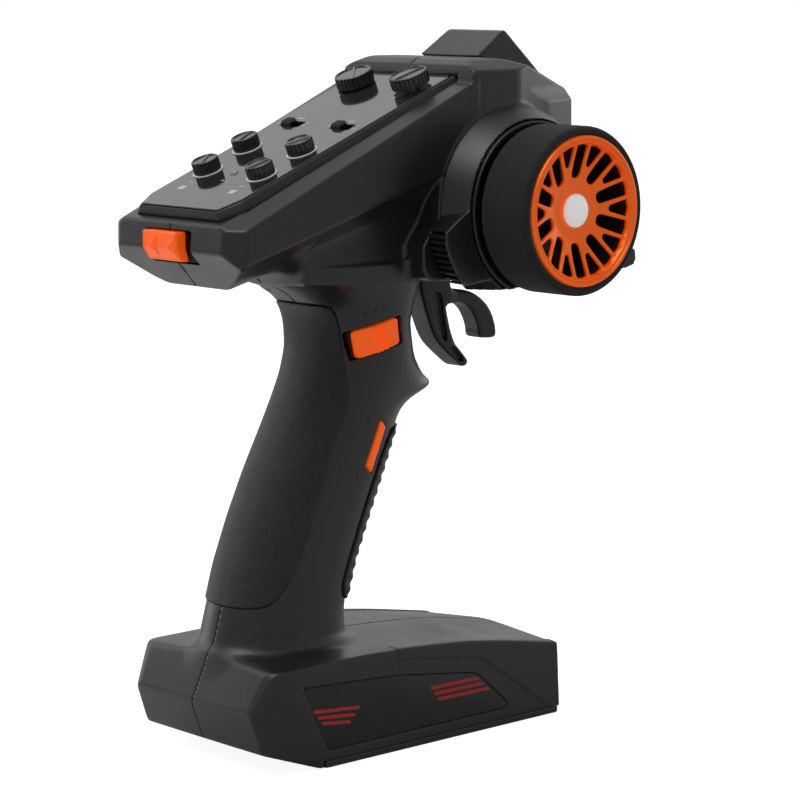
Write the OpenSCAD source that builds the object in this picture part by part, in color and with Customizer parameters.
// Pistol-grip radio transmitter: wheel on the right side, trigger in front of the grip,
// tilted control panel on top, battery box as the foot. Millimetres.
// +Z up, +Y forward (the trigger side), +X to the right (the wheel side).
// The origin is on the ground, on the parting plane of the two housing halves.

/* [Base box] */
// Half width of the battery box
base_hw = 30.5; // [30:0.1:31]
// Height of the battery box at its centre ridge
base_h = 33; // [32.5:0.1:33.5]
// Thickness of the bottom cover
cover_t = 2.4; // [2:0.1:2.6]

/* [Grip] */
// Half width of the grip, side to side
grip_hw = 17; // [16.5:0.1:17.5]
// Roundness exponent of the grip's cross-section
grip_p = 2.4; // [2.2:0.1:2.8]
// How far the rubber pads stand out of the grip
rubber_out = 0.5; // [0.3:0.1:0.7]

/* [Head] */
// Half width of the head between its flat sides
head_hw = 29; // [28.5:0.1:29.3]
// Half width of the neck block below the head
neck_hw = 20; // [19.5:0.1:20.5]
// Wall thickness of the housing halves
wall = 2.2; // [1.8:0.1:2.4]
// Tilt of the control panel, degrees
panel_tilt = 21.8; // [21.5:0.1:22]

/* [Steering wheel] */
// Height of the wheel axis
wheel_z = 160; // [159.5:0.1:160.5]
// Forward position of the wheel axis
wheel_y = 41.5; // [41:0.1:42]
// Outer radius of the foam tyre
tyre_r = 25.1; // [24.5:0.1:25.5]
// Radius of the wheel shaft
shaft_r = 3; // [2.8:0.1:3.2]
// Running clearance of every shaft in its hole
run = 0.05; // [0.02:0.01:0.09]
// Number of long slots in the wheel face
spokes = 10; // [8:1:10]

/* [Trigger] */
// Width of the trigger blade
trig_w = 9; // [8:0.5:9.5]
// Forward position of the trigger pivot
trig_y = 38; // [37.5:0.1:38.5]
// Height of the trigger pivot
trig_z = 147; // [146.8:0.1:147.4]

/* [Knobs] */
// Radius of the four small knobs
knob_r = 4.15; // [3.9:0.05:4.3]
// Height of the four small knobs
knob_h = 3.7; // [3.4:0.1:4.2]
// Radius of the two large knobs
dial_r = 5.9; // [5.5:0.1:6.2]
// Height of the two large knobs
dial_h = 3.9; // [3.5:0.1:4.4]

/* [Hidden] */
$fn = 48;

pin_r = 1.99; // trigger shaft and potentiometer shafts
bore_r = 2; // nominal hole for those shafts
half_gap = 0.08; // each housing half stops this far from the parting plane

// ---------- helpers ----------
// (y, z) profile extruded along X
module slab_x(profile, x0, x1)
  translate([x0, 0, 0]) rotate([90, 0, 90]) linear_extrude(x1 - x0) polygon(profile);

// cylinder along X
module rod_x(x0, x1, radius, y, z, sides = 48)
  translate([x0, y, z]) rotate([0, 90, 0]) cylinder(r = radius, h = x1 - x0, $fn = sides);

// outline symmetric about x = 0, from its right half
function both_sides(half) =
  concat(half, [for (i = [len(half) - 1:-1:0]) [-half[i].x, half[i].y]]);

// panel frame: x across, y up the slope from the faceplate's rear edge, z outward
panel_rear_y = -64;
panel_rear_z = 163.9;
module on_panel(x, y, z = 0)
  translate([0, panel_rear_y, panel_rear_z]) rotate([panel_tilt, 0, 0])
    translate([x, y, z]) children();

function super_coord(half, unit, power) = half * sign(unit) * pow(abs(unit), 2 / power);
function superellipse(half_x, half_y, power, count) = [for (i = [0:count - 1])
  let (angle = 360 * i / count)
  [super_coord(half_x, cos(angle), power), super_coord(half_y, sin(angle), power)]];

// convex solid round a list of points
module around(points)
  hull() polyhedron(points = points, faces = [[for (i = [0:len(points) - 1]) i]]);

// coil spring along Z, wire_r is the radius of the wire
module helix(radius, wire_r, pitch, turns) {
  per_turn = 20;
  sides = 6;
  steps = floor(turns * per_turn);
  points = [for (i = [0:steps]) for (j = [0:sides - 1])
    let (turn = 360 * i / per_turn, around_wire = 360 * j / sides,
      reach = radius + wire_r * cos(around_wire))
    [reach * cos(turn), reach * sin(turn), pitch * i / per_turn + wire_r * sin(around_wire)]];
  function at(i, j) = i * sides + j % sides;
  polyhedron(points = points, faces = concat(
    [[for (j = [0:sides - 1]) j]],
    [[for (j = [sides - 1:-1:0]) at(steps, j)]],
    [for (i = [0:steps - 1]) for (j = [0:sides - 1]) [at(i, j), at(i + 1, j), at(i + 1, j + 1)]],
    [for (i = [0:steps - 1]) for (j = [0:sides - 1]) [at(i, j), at(i + 1, j + 1), at(i, j + 1)]]));
}

// ---------- grip form ----------
// height, centre y, half depth, added to grip_hw, added to grip_p
grip_sections = [
  [30, -30.6, 25.5, 3.2, 0], [34, -30.3, 23.6, 1.6, 0], [38.3, -29.9, 22.0, 0.4, 0],
  [43, -29.2, 21.4, 0, 0], [55.9, -25.4, 21.4, 0, 0], [69.7, -19.6, 21.6, 0, 0],
  [83.5, -13.2, 21.3, 0, 0], [92, -9.2, 20.4, 0, 0], [98, -6.6, 19.6, 0, 0],
  [104.2, -3.4, 19.6, 0, 0], [111, -0.6, 19.2, 0, 0], [118.5, 0.7, 18.4, 0, 0],
  [125.8, 0.3, 18.1, 0.5, 0], [131, 0, 18.8, 1.5, 0.1], [135, -1.5, 20.6, 2.9, 0.3],
  [138, -4.2, 24.2, 4, 0.6], [141, -6.5, 27, 4.4, 0.9], [144.5, -7.6, 28.4, 4.5, 1.2]];
function grip_ring(s, grow) =
  [for (p = superellipse(grip_hw + s[3] + grow, s[2] + grow, grip_p + s[4], 44))
    [p.x, p.y + s[1], s[0]]];
// grip between two section numbers, grown outward
module grip_form(grow = 0, first = 0, last = 17)
  for (i = [first:last - 1])
    around(concat(grip_ring(grip_sections[i], grow), grip_ring(grip_sections[i + 1], grow)));

// pointed finger rest in front of the grip
spur_hw = 16.35;
// height, centre y, depth of the front half, exponent
spur_sections = [
  [95, -7.9, 19.6, 2.3], [98, -6.55, 22.8, 2.05], [101, -5.1, 26.3, 1.85],
  [103, -4.0, 32.2, 1.66], [104.6, -3.2, 35.9, 1.58], [106.2, -2.6, 33.9, 1.62],
  [108.9, -1.45, 29.2, 1.76], [112.5, -0.3, 24.6, 1.95], [117, 0.5, 20.6, 2.15],
  [122, 0.5, 17.8, 2.35]];
function spur_bow(s) = [for (angle = [0:10:180])
  [super_coord(spur_hw, cos(angle), s[3]), s[1] + s[2] * pow(abs(sin(angle)), 2 / s[3]), s[0]]];
module spur()
  for (i = [0:len(spur_sections) - 2])
    around(concat(spur_bow(spur_sections[i]), spur_bow(spur_sections[i + 1])));

// ---------- base form ----------
base_front_y = 61.5;
// (y, z) corners of the flat sides
base_side = [[-36.1, 0], [61.4, 0], [60.3, 22.8], [29.5, 28.4], [10.9, 30.4], [-7.7, 31.6],
  [-53.3, 31.6]];
// (x, y, z) of the rear corners
base_corner = [[27.2, -57, 7.5], [26.6, -61.1, 19.3], [27.4, -55.5, 30.9]];
// (y, z) of the centre line
base_ridge = [[60.1, 25.8], [29.5, 30.9], [10.9, 32.3], [-7.7, base_h], [-54.3, 32.9],
  [-61.6, 19.2], [-56.9, 7.1]];
// battery box, inset from the outer faces
module base_form(inset = 0) {
  scale_x = (base_hw - inset) / base_hw;
  scale_y = (base_front_y - inset) / base_front_y;
  scale_z = (base_h - 2 * inset) / base_h;
  half = concat([for (p = base_side) [base_hw, p[0], p[1]]], base_corner);
  points = concat(
    [for (side = [-1, 1]) for (p = half) [side * p.x, p.y, p.z]],
    [for (p = base_ridge) [0, p[0], p[1]]]);
  around([for (p = points) [p.x * scale_x, p.y * scale_y, inset + p.z * scale_z]]);
}

// ---------- head form ----------
// (x, z) section swept along Y and sheared upwards by slope; z0 is its height at y = 0
module sloped(section, slope, z0)
  multmatrix([[1, 0, 0, 0], [0, 1, 0, 0], [0, slope, 1, z0], [0, 0, 0, 1]])
    translate([0, 110, 0]) rotate([90, 0, 0]) linear_extrude(190) polygon(section);

module head_profile(inset) slab_x([
  [-66.95 + inset, 159.8 - inset], [-67.75 + inset, 151.7 + inset * 0.2],
  [-57.3 + inset * 0.6, 140.25 + inset], [10, 158.5 + inset], [24, 140 + inset],
  [81.2 - inset, 140 + inset], [81.6 - inset, 150], [81.1 - inset, 180],
  [80.5 - inset, 193.2 - inset], [70.5 - inset * 0.3, 196.2 - inset], [60, 199.2 - inset],
  [42, 204.1 - inset], [29.6, 204.1 - inset], [25.5 + inset * 0.7, 202 - inset],
  [24.3 + inset * 0.7, 197.6 - inset]], -40, 40);

// plan with cut rear corners and a tapered nose
module head_plan(inset, side)
  translate([0, 0, 120]) linear_extrude(100) polygon(both_sides([
    [24, -67.7 + inset], [side, -63 + inset], [side, 46.5], [14 - inset, 79 - inset],
    [11, 86 - inset]]));

// the chamfered upper edges rise forward, up to the front bar
module head_top(inset, side) {
  sloped(both_sides([[22, -inset], [side, -2.6 - inset], [side, -70]]), 0.417, 187.44);
  slab_x([[24.8, 120], [24.8, 210], [90, 210], [90, 120]], -22.6 + inset, 22.6 - inset);
  hull() {
    slab_x([[30, 150], [30, 199.5 - inset], [46, 199.3 - inset], [87, 190 - inset], [87, 150]],
      -side, side);
    slab_x([[30, 150], [30, 204 - inset], [42, 204 - inset], [87, 192 - inset], [87, 150]],
      -23 + inset, 23 - inset);
  }
}

// the chamfered lower edges follow the underside's slope
module head_bottom(inset, side) {
  sloped(both_sides([[13.5, inset], [18, 2.1 + inset], [side, 9.8 + inset * 0.6], [side, 90]]),
    0.27, 155.84);
  slab_x([[30, 140 + inset], [30, 210], [90, 210], [90, 140 + inset]],
    -neck_hw + inset, neck_hw - inset);
}

module head_form(inset = 0) {
  side = head_hw - inset;
  intersection() {
    head_profile(inset);
    head_plan(inset, side);
    head_top(inset, side);
    head_bottom(inset, side);
  }
}

module neck_form(inset = 0) slab_x([
  [-38.5 + inset, 152.3 + inset], [-33 + inset, 144.5], [-33 + inset, 140], [22, 140],
  [24, 138.6 + inset], [80.4 - inset, 139.6 + inset], [81.4 - inset, 146],
  [81.4 - inset, 165], [-30, 165]], -neck_hw + inset, neck_hw - inset);

// round pod on the right side that carries the wheel, with the block below it
pod_r = 31;
pod_z = wheel_z - 0.5;
module pod_form(inset = 0, x1 = head_hw) {
  intersection() {
    rod_x(0.5, x1, pod_r - inset, wheel_y, pod_z, 96);
    translate([-1, -10, 156]) cube([60, 110, 60]);
  }
  slab_x([[11.2 + inset, 163], [10.6 + inset, 157.4], [6.4 + inset, 153.9], [3.5 + inset, 149.7],
    [4.0 + inset, 141 + inset * 0.3], [6.5 + inset, 138.6 + inset],
    [82.7 - inset, 138.9 + inset], [87.2 - inset, 140.5 + inset * 0.6],
    [86.7 - inset, 145.5 - inset * 0.5], [76 - inset * 0.5, 152 - inset * 0.7],
    [71 - inset, 158], [70 - inset, 163]], 0.5, x1);
}

// ---------- housing ----------
// tray outline in the panel frame
tray_outline = both_sides([[18.6, -1.3], [22, 6], [22, 95.6]]);
// (y, z) of the housing screws, which run along X
housing_screw_at = [[-51, 151.4], [71, 150.5], [64, 186], [-24, 139.2], [-12.5, 97], [-28, 57],
  [-50, 16]];
base_screw_at = [for (y = [-31.5, -14]) for (x = [22.5, -22.5]) [x, y]];
cover_top = cover_t + 0.03; // underside of the housing over the bottom cover

module housing_screw_rods(x0, x1, radius, sides = 48)
  for (p = housing_screw_at) rod_x(x0, x1, radius, p[0], p[1], sides);
module at_base_screws(z) for (p = base_screw_at) translate([p.x, p.y, z]) children();

// frames of the slider and the rocker on the grip
module at_gear() translate([0, -3.5, 122.3]) rotate([12.8, 0, 0]) children();
module at_rocker() translate([0, -3.2, 90]) rotate([65, 0, 0]) children();

module outer_form() {
  difference() {
    union() {
      head_form();
      neck_form();
      pod_form();
    }
    // pocket for the panel tray
    on_panel(0, 0, -3.4) linear_extrude(20) offset(delta = 0.06) polygon(tray_outline);
  }
  grip_form();
  spur();
  base_form();
}

module inner_form() {
  difference() {
    intersection() {
      union() {
        head_form(wall);
        neck_form(wall);
        pod_form(wall, head_hw - wall - 0.3);
      }
      // below the panel pocket, or inside the front bar
      union() {
        on_panel(-40, -20, -106) cube([80, 130, 100]);
        slab_x([[29, 120], [29, 210], [90, 210], [90, 120]], -40, 40);
      }
    }
    // a bulkhead keeps the foot of the front bar solid
    slab_x([[24.9, 187.7], [24.9, 210.3], [30.7, 210.3], [30.7, 187.7]], -41, 41);
  }
  grip_form(-wall);
  base_form(wall);
  // passages from the grip into the head and into the base
  translate([0, -7, 140]) linear_extrude(8) polygon(superellipse(grip_hw + 0.8, 24, 3.6, 44));
  translate([0, -30, 26]) linear_extrude(8) polygon(superellipse(grip_hw - 1.4, 19.5, 2.4, 44));
}

module housing_bosses() intersection() {
  housing_screw_rods(1 - head_hw, head_hw - 1, 3.1, 24);
  union() {
    head_form(1);
    neck_form(1);
    pod_form(1, head_hw - 1);
    grip_form(-1);
    base_form(1);
  }
}

// bosses for the bottom screws, joined to the side walls
module base_bosses() intersection() {
  for (p = base_screw_at)
    hull() for (x = [p.x, sign(p.x) * 32])
      translate([x, p.y, cover_top]) cylinder(r = 3, h = 11, $fn = 24);
  base_form(1);
}

module openings() {
  // window under the control panel
  on_panel(-19, 4, -8) cube([38, 87, 12]);
  // trigger slot
  translate([-6.2, 23.5, 134]) cube([12.4, 24.5, 12]);
  // power slider window in the rear face
  translate([-10.7, -72, 147.9]) cube([20.2, 12, 9.8]);
  // floor of the battery box, and the recess for the bottom cover
  translate([-27.6, -27, -1]) cube([55.2, 85.6, 3.6]);
  translate([-40, -36.2, -1]) cube([80, 110, cover_top + 1]);
  // hole for the aerial lead
  translate([0, 55, 190]) cylinder(r = 4, h = 20);
  // wheel shaft passage in the right wall
  wheel_rod(20, 40, 7);
  // slider and rocker in the right side of the grip
  at_gear() translate([10, -10.6, -4.6]) cube([12, 21.2, 9.2]);
  at_rocker() translate([9, -8.1, -1.85]) cube([12, 16.2, 3.7]);
}

module housing() difference() {
  union() {
    difference() {
      outer_form();
      inner_form();
    }
    housing_bosses();
    base_bosses();
  }
  openings();
  rear_pad(0.04, 1.25);
  finger_pad(0.04, 1.25);
  // screw holes, with wide entries from the left
  housing_screw_rods(-40, 12, 1.3, 24);
  housing_screw_rods(-40, -7, 2.9, 24);
  at_base_screws(0) cylinder(r = 1.25, h = 11, $fn = 24);
  label_recess();
  mirror([1, 0, 0]) label_recess();
}

module housing_half(x0) intersection() {
  housing();
  translate([x0, -100, -5]) cube([60, 250, 250]);
}
module right_shell() color("#26272b") housing_half(half_gap);
module left_shell() color("#26272b") housing_half(-60 - half_gap);

// ---------- rubber pads ----------
// (y, z) outlines; the outer ends run past the grip
rear_outline = [[-70, 136.3], [-34.8, 135.2], [-22, 133.7], [-17.1, 129.2], [-15, 118],
  [-13.5, 106.6], [-14.3, 101.6], [-22, 83.7], [-29.7, 66.8], [-37.1, 53.2], [-41, 48.2],
  [-44, 46.2], [-70, 45.8]];
front_outline = [[40, 94.6], [7.6, 94.6], [4.4, 92.4], [0.4, 86.7], [-4, 77.5], [-8.3, 67.8],
  [-13.5, 54.8], [-15.6, 50.4], [-14.8, 46.6], [-12.6, 44.4], [40, 44.4]];

// moves z away from the pad's middle if it lies below low or above high
function spread(z, low, high, grow) = z + (z > high ? grow : z < low ? -grow : 0);

// depth is measured below the grip surface
module pad(outline, last, grow, depth) intersection() {
  difference() {
    grip_form(rubber_out + grow, 3, last);
    grip_form(-depth, 2, last + 1);
  }
  slab_x(outline, -40, 40);
}
module rear_pad(grow = 0, depth = 1.2)
  pad([for (p = rear_outline) [p[0] + grow, spread(p[1], 47, 134, grow)]], 16, grow, depth);
module finger_pad(grow = 0, depth = 1.2)
  pad([for (p = front_outline) [p[0] - (p[0] < 40 ? grow : 0), spread(p[1], 45, 94, grow)]],
    9, grow, depth);
module rear_grip_rubber() color("#1b1c20") rear_pad();
module finger_grip_rubber() color("#1b1c20") finger_pad();

// ---------- base parts ----------
module base_cover() color("#232427") difference() {
  intersection() {
    translate([0, 0, -0.12]) base_form(0.12);
    translate([-40, -35.6, 0]) cube([80, 110, cover_t]);
  }
  // opening for the battery door
  translate([-25.2, 3, -1]) cube([50.4, 80, 5]);
  at_base_screws(-1) {
    cylinder(r = 1.35, h = 5);
    cylinder(r = 2.8, h = 2.1);
  }
}

// flat door with an upturned front lip and five ridges underneath
module battery_door() color("#2a2b2f") {
  translate([-25, 3.2, 0.4]) cube([50, 58.4, cover_t - 0.6]);
  translate([-25, 61.45, 0.4]) cube([50, 0.85, 5.6]);
  for (i = [0:4]) translate([-12, 12 + i * 3, 0.15]) cube([24, 1.2, 0.6]);
}

// (y, z) outline on the side of the battery box
label_outline = [[-44.2, 25.5], [-8.2, 23.4], [22.7, 19.2], [26.2, 17.9], [38.8, 7.0],
  [38.3, 5.8], [-34.7, 5.6]];
label_inner_x = base_hw - 0.8;
module label_plate() slab_x(label_outline, label_inner_x, base_hw - 0.15);
module label_recess(gap = 0.05) slab_x(
  [for (p = label_outline) [p[0] + (p[0] > 0 ? gap : -gap), p[1] + (p[1] > 10 ? gap : -gap)]],
  label_inner_x - gap, base_hw + 1);
module right_label_plate() color("#17181a") label_plate();
module left_label_plate() color("#17181a") mirror([1, 0, 0]) label_plate();

// four cells lie across the base, one behind the other
cell_z = 10.8;
module at_cells() for (i = [0:3]) translate([0, 7 + i * 14.5, cell_z]) children();
module battery_cells() color("#3d6fa8") at_cells() translate([-25, 0, 0]) rotate([0, 90, 0]) {
  cylinder(r = 7.1, h = 48.9);
  translate([0, 0, 48.8]) cylinder(r = 2.7, h = 1.2);
}
module battery_contacts() color("#c9ccd0") at_cells() {
  for (x = [25.3, -26.6]) translate([x, -5.5, -5.3]) cube([0.5, 11, 10.5]);
  translate([-26.2, 0, 0]) rotate([0, 90, 0]) cylinder(r = 3, h = 0.9);
}

module base_screws() color("#55585c") at_base_screws(0.2) {
  difference() {
    cylinder(r = 2.6, h = 0.85);
    translate([-1.6, -0.3, -0.1]) cube([3.2, 0.6, 0.6]);
    translate([-0.3, -1.6, -0.1]) cube([0.6, 3.2, 0.6]);
  }
  translate([0, 0, 0.5]) cylinder(r = 1.15, h = 8.5);
}
module housing_screws() color("#55585c") {
  for (p = housing_screw_at) difference() {
    rod_x(-9.3, -7.05, 2.6, p[0], p[1]);
    translate([-9.5, p[0] - 1.6, p[1] - 0.3]) cube([1, 3.2, 0.6]);
    translate([-9.5, p[0] - 0.3, p[1] - 1.6]) cube([1, 0.6, 3.2]);
  }
  housing_screw_rods(-7.2, 10, 1.15);
}

// ---------- steering wheel ----------
// frame with its Z along the wheel axis, pointing right
module on_wheel_axis(x) translate([x, wheel_y, wheel_z]) rotate([0, 90, 0]) children();
module wheel_rod(x0, x1, radius, sides = 48) rod_x(x0, x1, radius, wheel_y, wheel_z, sides);
hub_x = 41;

module wheel_mount() color("#2b2c30") difference() {
  union() {
    translate([head_hw + 0.05, wheel_y, pod_z]) rotate([0, 90, 0])
      cylinder(r1 = pod_r, r2 = 28.6, h = 8.95, $fn = 96);
    slab_x([[17.7, 162.6], [6.4, 153.9], [3.5, 149.7], [4.0, 141], [6.5, 138.6], [12, 138.3],
      [26, 139.6], [82.7, 138.9], [87.2, 140.5], [86.7, 145.5], [76, 152], [66, 160]],
      head_hw + 0.05, 38);
  }
  // groove round the wheel seat
  seat_z = wheel_z - 0.2;
  difference() {
    rod_x(36.6, 39, 27.7, wheel_y, seat_z, 96);
    rod_x(36, 40, 26.6, wheel_y, seat_z, 96);
  }
  rod_x(37.3, 39, 25.9, wheel_y, seat_z, 96);
  wheel_rod(15, 40, 6);
  // grooves in the rear side of the block, the upper ones longer
  for (i = [0:7]) translate([28, -2, 140.6 + i * 2.1])
    cube([8.8, 7.2 + (i > 4 ? 1.5 * (i - 4) : 0), 1.0]);
}

module wheel_bush() color("#b08d3c") difference() {
  union() {
    wheel_rod(30.2, 37.2, 5.98);
    wheel_rod(29.1, 30.2, 6.0);
  }
  wheel_rod(29, 38, shaft_r + run);
}

module wheel_shaft() color("#b9bcc1") difference() {
  wheel_rod(4, 52.4, shaft_r);
  wheel_rod(44, 53, 1.3, 24);
}

// disc with a sleeve, an outer ring and five ribs
module wheel_hub() color("#1d1e20") difference() {
  union() {
    on_wheel_axis(hub_x) rotate_extrude($fn = 96) polygon([[3, -0.6], [7, -0.6], [7, 0.6],
      [20.9, 0.6], [20.9, 14.4], [19.8, 14.4], [19.8, 2.6], [8, 2.6], [6.2, 4], [6.2, 11.4],
      [3, 11.4]]);
    for (i = [0:4]) translate([hub_x, wheel_y, wheel_z]) rotate([72 * i, 0, 0])
      translate([2, -0.6, 6]) cube([6, 1.2, 13.95]);
  }
  wheel_rod(40, 54, shaft_r);
}

tyre_w = 17.8;
tyre_edge_r = 2.4;
tyre_bore_r = 20.95;
// quarter-round edge of the tyre section, centred at height z
function tyre_edge(from, z) = [for (angle = [from:15:from + 90])
  [tyre_r - tyre_edge_r + tyre_edge_r * cos(angle), z + tyre_edge_r * sin(angle)]];
module foam_tyre() color("#2c2d2f") on_wheel_axis(39.6) rotate_extrude($fn = 96)
  polygon(concat([[tyre_bore_r, 0.6], [21.6, 0]],
    tyre_edge(-90, tyre_edge_r), tyre_edge(0, tyre_w - tyre_edge_r),
    [[22.5, tyre_w], [22.5, 15.9], [tyre_bore_r, 15.9]]));

module wheel_rim() color("#f0641e") on_wheel_axis(0) difference() {
  rotate_extrude($fn = 96) polygon([[1.4, 52.5], [8.5, 52.5], [18.7, 54.5], [18.7, 51.2],
    [19.7, 51.2], [19.7, 55.6], [22.4, 55.6], [22.4, 57.6], [21.9, 58], [20.9, 58],
    [19.6, 57.2], [18.9, 56.8], [9, 54.4], [1.4, 54.2]]);
  for (i = [0:spokes - 1]) rotate([0, 0, i * 360 / spokes]) {
    // long slot with round ends
    translate([10.9, -1.55, 50]) cube([6.9, 3.1, 10]);
    for (x = [10.9, 17.4]) translate([x, 0, 50]) cylinder(r = 1.55, h = 10, $fn = 24);
    // wedge-shaped slot between two long ones
    rotate([0, 0, 180 / spokes]) translate([0, 0, 50]) linear_extrude(10)
      polygon([[12.6, -0.25], [18.4, -2.6], [19, -1.2], [19.1, 0], [19, 1.2], [18.4, 2.6],
        [12.6, 0.25]]);
  }
}

module wheel_screw() color("#8d9095") {
  wheel_rod(54.25, 55.3, 2.4, 32);
  wheel_rod(45, 54.3, 1.2, 24);
}

module wheel_cap() color("#f2f2f0") difference() {
  on_wheel_axis(54.45) rotate_extrude($fn = 64) polygon(concat([[0, 0], [5, 0]],
    [for (angle = [0:10:80]) [5 * cos(angle), 0.7 + 1.4 * sin(angle)]], [[0, 2.1]]));
  wheel_rod(54, 55.5, 2.6, 32);
}

// plate with a central sleeve and four posts to the right
module steering_frame() color("#3a3c40") difference() {
  union() {
    translate([14, wheel_y - 17.3, wheel_z - 10.5]) cube([3, 34.6, 22]);
    for (y = [-14.5, 14.5], z = [-7.8, 8.8])
      rod_x(16.9, 26.45, 2.6, wheel_y + y, wheel_z + z, 32);
    wheel_rod(11.5, 17, 6);
  }
  wheel_rod(10, 20, shaft_r + run);
}

module steering_pot() color("#4a6b52") difference() {
  translate([3.2, wheel_y - 8, wheel_z - 7]) cube([8.2, 16, 16]);
  wheel_rod(3.9, 12, shaft_r + run);
}

module wheel_spring() color("#c2c5ca") on_wheel_axis(19) helix(4.4, 0.45, 1.25, 6);

// ---------- trigger ----------
// (y, z) outlines of the blade and of the pockets in both its sides
trigger_outline = [[33.6, 150], [30.5, 146], [27.2, 140], [26.7, 136.3], [27.2, 133],
  [27.9, 130.4], [29.6, 125.7], [31.7, 120.6], [33.2, 118], [35.1, 115.6], [39.8, 111.8],
  [44.1, 108.6], [45.4, 108.2], [46.6, 108.8], [46.9, 109.8], [46.4, 110.9], [43.7, 113.6],
  [41.1, 117], [39.4, 120.2], [38.1, 125], [37.4, 128.1], [41.9, 128.4], [45.3, 128.1],
  [48.8, 126], [50.9, 123], [52.3, 119.8], [52.5, 117.4], [53.2, 116.5], [54.6, 116.3],
  [58.4, 116], [59.5, 116.5], [59.9, 117.7], [59.4, 120.6], [57.9, 124.3], [55.3, 127.6],
  [51.3, 130.4], [47, 132], [42.7, 132.6], [39.6, 133.2], [39.2, 136], [41, 141],
  [42.3, 145], [41.5, 149]];
upper_pocket = [[30.9, 132.3], [34.2, 132.1], [35.5, 129.8], [35.9, 125.1], [37.0, 120.8],
  [37.6, 118.2], [36.8, 117.2], [35.2, 118.6], [33.6, 121.6], [32.1, 125.5]];
lower_pocket = [[38.6, 114.6], [40.4, 115], [42.6, 112.6], [44.6, 110.6], [43.6, 110.2],
  [41.2, 111.9]];
pocket_depth = 1.1;

module pivot_rod(x0, x1, radius) rod_x(x0, x1, radius, trig_y, trig_z);

module trigger() color("#202124") difference() {
  union() {
    slab_x(trigger_outline, -trig_w / 2, trig_w / 2);
    pivot_rod(-trig_w / 2, trig_w / 2, 5);
  }
  pivot_rod(-10, 10, bore_r);
  for (x = [-trig_w / 2, trig_w / 2], pocket = [upper_pocket, lower_pocket])
    slab_x(pocket, x - pocket_depth, x + pocket_depth);
}

module trigger_shaft() color("#b9bcc1") pivot_rod(-15.5, 10.8, pin_r);

// an upright with an outward foot on each side
module trigger_bracket() color("#3a3c40") difference() {
  for (side = [0, 1]) mirror([side, 0, 0]) {
    translate([8.6, trig_y - 7, 142]) cube([2.6, 14, 10.2]);
    translate([8.6, trig_y - 7, 141.25]) cube([8.6, 14, 2]);
  }
  pivot_rod(-12, 12, bore_r + run);
}

module trigger_pot() color("#4a6b52") difference() {
  translate([-17.4, trig_y - 5.6, trig_z - 2.9]) cube([5.6, 11.2, 11]);
  pivot_rod(-15.9, -11, bore_r + run);
}

module trigger_spring() color("#c2c5ca")
  translate([5.15, trig_y, trig_z]) rotate([0, 90, 0]) helix(3.2, 0.3, 0.68, 4);

// ---------- control panel ----------
// places in the panel frame; knobs and dials run left to right, rear to front
knob_at = [[-12.1, 22.4], [12.1, 22.4], [-12.2, 38.6], [12.2, 38.6]];
dial_at = [[-12.3, 85.2], [12.3, 85.2]];
pot_at = concat(knob_at, dial_at);
switch_at = [[-11.2, 56.6], [11.2, 56.6]];
led_y = 22.4;
knob_lift = 0.35; // gap between the faceplate and a knob
face_outline = both_sides([[16.6, 0], [17.3, 0.3], [20, 8], [20, 93.8], [18.6, 95.2]]);
tray_top_outline = both_sides([[17.4, -0.6], [20.6, 7], [20.6, 95.5]]);

module panel_holes(z0, z1) {
  for (p = pot_at) on_panel(p.x, p.y, z0) cylinder(r = 2.4, h = z1 - z0);
  for (p = switch_at) on_panel(p.x - 4.2, p.y - 1.8, z0) cube([8.4, 3.6, z1 - z0]);
  on_panel(0, led_y, z0) cylinder(r = 1.05, h = z1 - z0, $fn = 32);
}

module panel_tray() color("#303136") difference() {
  on_panel(0, 0) hull() {
    translate([0, 0, -3.35]) linear_extrude(1.2) polygon(tray_outline);
    translate([0, 0, -0.35]) linear_extrude(0.01) polygon(tray_top_outline);
  }
  on_panel(0, 0, -1.3) linear_extrude(3) offset(delta = 0.1) polygon(face_outline);
  panel_holes(-6, 1);
}

module faceplate() color("#3b3c41") difference() {
  on_panel(0, 0, -1.25) linear_extrude(1.25) polygon(face_outline);
  panel_holes(-2, 1);
}

// fluted knob with a chamfered top, a pointer groove and a blind hole
module knob(place, radius, height, flutes, lift = knob_lift)
  color("#141416") on_panel(place.x, place.y, lift) difference() {
    union() {
      cylinder(r = radius, h = height - 0.4);
      translate([0, 0, height - 0.41]) cylinder(r1 = radius, r2 = radius - 0.4, h = 0.41);
    }
    for (i = [0:flutes - 1]) rotate([0, 0, i * 360 / flutes])
      translate([radius + 0.22, 0, -0.1]) cylinder(r = 0.45, h = height + 1, $fn = 16);
    translate([-0.3, radius * 0.35, height - 0.35]) cube([0.6, radius, 1]);
    translate([0, 0, -0.1]) cylinder(r = 2, h = height - 1.2);
  }
module small_knob(i) knob(knob_at[i], knob_r, knob_h, 22);
module steer_rate_knob() small_knob(0);
module throttle_rate_knob() small_knob(1);
module steer_trim_knob() small_knob(2);
module throttle_trim_knob() small_knob(3);
module channel_a_knob() knob(dial_at[0], dial_r, dial_h, 30);
module channel_b_knob() knob(dial_at[1], dial_r, dial_h, 30, lift = 0.9);

module pot_shaft(place, top = 2.7)
  color("#b9bcc1") on_panel(place.x, place.y, -9.5) cylinder(r = pin_r, h = top + 9.5);
module steer_rate_shaft() pot_shaft(knob_at[0]);
module throttle_rate_shaft() pot_shaft(knob_at[1]);
module steer_trim_shaft() pot_shaft(knob_at[2]);
module throttle_trim_shaft() pot_shaft(knob_at[3]);
module channel_a_shaft() pot_shaft(dial_at[0], 2.9);
module channel_b_shaft() pot_shaft(dial_at[1], 3.4);

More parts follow.
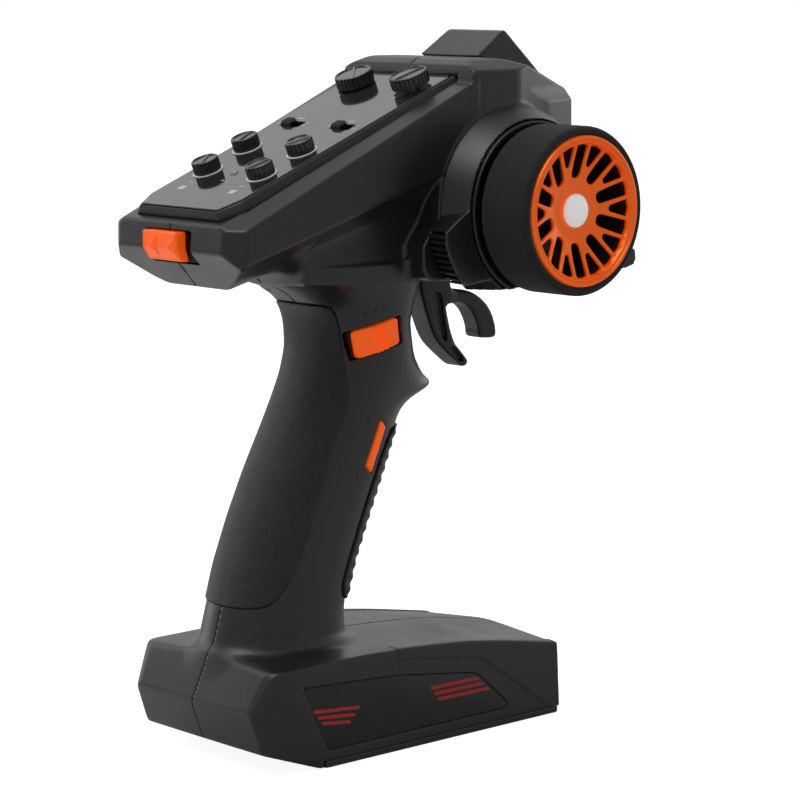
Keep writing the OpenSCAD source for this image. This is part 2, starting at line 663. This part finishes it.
module pot_bodies() color("#2f4f46") for (p = pot_at) on_panel(p.x, p.y, -11.4) difference() {
  union() {
    translate([-4.9, -4.6, 0]) cube([9.8, 9.2, 6.4]);
    cylinder(r = 3.4, h = 7.9);
  }
  translate([0, 0, 1.4]) cylinder(r = bore_r + run, h = 9);
}

module dial_rings() color("#f4f4f4") for (p = knob_at) on_panel(p.x, p.y, 0.01) difference() {
  cylinder(r = knob_r + 0.55, h = 0.22);
  translate([0, 0, -1]) cylinder(r = knob_r - 0.4, h = 3);
}

// switch lever with three ribs, set to the left of its slot's centre
module reverse_switch(place) color("#1a1b1d") on_panel(place.x - 1.6, place.y) {
  translate([-2.1, -1.6, -3.3]) cube([4.2, 3.2, 4.6]);
  for (i = [-1:1]) translate([i * 1.2 - 0.25, -1.6, 1.2]) cube([0.5, 3.2, 0.45]);
}
module steer_reverse_switch() reverse_switch(switch_at[0]);
module throttle_reverse_switch() reverse_switch(switch_at[1]);
module switch_bodies() color("#9a9da2") for (p = switch_at)
  on_panel(p.x, p.y, -7.4) translate([-6, -3.2, 0]) cube([12, 6.4, 3.8]);

module status_led() color("#e9f4ff") on_panel(0, led_y, -3.3) {
  $fn = 32;
  cylinder(r = 1, h = 3.2);
  // flange, and the link that joins it to the body
  translate([0, 0, -1.1]) cylinder(r = 1.5, h = 1.0);
  translate([0, 0, -0.2]) cylinder(r = 0.95, h = 0.4);
  // domed tip
  translate([0, 0, 3]) intersection() {
    sphere(r = 1);
    cylinder(r = 1, h = 1);
  }
}

// ---------- sliders and buttons ----------
// (y, z) outline
slider_outline = [[-66.4, 149], [-68.6, 149], [-70, 150.6], [-70.4, 152.9], [-69.9, 155.2],
  [-68.6, 156.6], [-66.4, 156.6]];
module power_slider() color("#f0641e") {
  difference() {
    slab_x(slider_outline, -10.2, 5);
    for (x = [-10.25, -9.4]) translate([x, -72, 148]) cube([0.25, 1.9, 10]);
  }
  // tab into the switch
  translate([-4.4, -66.5, 150.8]) cube([3.6, 3.4, 4]);
  // raised triangles on the rear face, pointing left and right
  for (side = [-1, 1]) translate([-2.6 + side * 3.4, -70.1, 152.9]) rotate([90, 0, 0])
    linear_extrude(0.5) polygon([[side * 2.2, 0], [-side * 1.4, 1.7], [-side * 1.4, -1.7]]);
}
module power_switch_body() color("#8f9297") difference() {
  translate([-10.5, -64.4, 148.4]) cube([20, 5.8, 8]);
  translate([-5.4, -65, 150.2]) cube([10.4, 2.6, 5.2]);
}

// the plate and its three ribs follow the grip surface
module gear_slider() color("#f0641e") {
  intersection() {
    at_gear() translate([13.75, -8.7, -4.05]) cube([6, 17.4, 8.1]);
    grip_form(0.25, 9, 15);
  }
  intersection() {
    at_gear() for (y = [-2.8, -1.0, 0.8]) translate([15, y, -4.05]) cube([6, 0.9, 8.1]);
    grip_form(0.85, 9, 15);
  }
}
module gear_switch_body() color("#8f9297") at_gear() translate([7.6, -8, -4]) cube([6, 16, 8]);

module trim_rocker() color("#f0641e") at_rocker() {
  slab_x([[-7.7, -1.45], [7.7, -1.45], [7.7, 1.45], [-7.7, 1.45]], 15.4, 17.1);
  translate([14.5, 0, -1.45]) cylinder(r = 1.1, h = 2.9);
}
module tact_switches() color("#8f9297") at_rocker()
  for (y = [-5.2, 5.2]) translate([11.4, y - 2, -1.7]) cube([3.4, 4, 3.4]);

// ---------- electronics ----------
module main_board() color("#1f6b45") on_panel(-23, 16, -13.2) cube([46, 58, 1.5]);
module buzzer() color("#222222") on_panel(0, 66, -17.4) cylinder(r = 5.5, h = 4.1);
module radio_board() color("#1f6b45") translate([-12, 48, 178]) cube([24, 14, 1.2]);

// upright lead with a crossbar
module antenna() color("#cfd2d6") {
  translate([0, 55, 179.3]) cylinder(r = 0.9, h = 26.4, $fn = 32);
  rod_x(-9, 9, 1.3, 55, 206.6, 32);
}

// hollow wedge on top of the front bar
module antenna_cover() color("#2b2c30") difference() {
  hull() {
    slab_x([[42, 204.26], [70.5, 196.36], [70.9, 197.3], [54.6, 212], [53.6, 212]],
      -12.2, 12.2);
    slab_x([[42, 204.26], [70.5, 196.36], [70.5, 197.1]], -13, 13);
  }
  hull() slab_x([[46, 200], [66, 196], [66, 198.5], [54.5, 209.6], [53.8, 209.6]], -10.4, 10.4);
}

right_shell();
left_shell();
base_cover();
battery_door();
wheel_mount();
panel_tray();
faceplate();
antenna_cover();
rear_grip_rubber();
finger_grip_rubber();
right_label_plate();
left_label_plate();
wheel_hub();
foam_tyre();
wheel_rim();
wheel_cap();
wheel_screw();
wheel_shaft();
wheel_bush();
steering_frame();
steering_pot();
wheel_spring();
trigger();
trigger_shaft();
trigger_bracket();
trigger_pot();
trigger_spring();
steer_rate_knob();
throttle_rate_knob();
steer_trim_knob();
throttle_trim_knob();
channel_a_knob();
channel_b_knob();
steer_rate_shaft();
throttle_rate_shaft();
steer_trim_shaft();
throttle_trim_shaft();
channel_a_shaft();
channel_b_shaft();
pot_bodies();
dial_rings();
steer_reverse_switch();
throttle_reverse_switch();
switch_bodies();
status_led();
power_slider();
power_switch_body();
gear_slider();
gear_switch_body();
trim_rocker();
tact_switches();
main_board();
radio_board();
antenna();
buzzer();
battery_cells();
battery_contacts();
housing_screws();
base_screws();
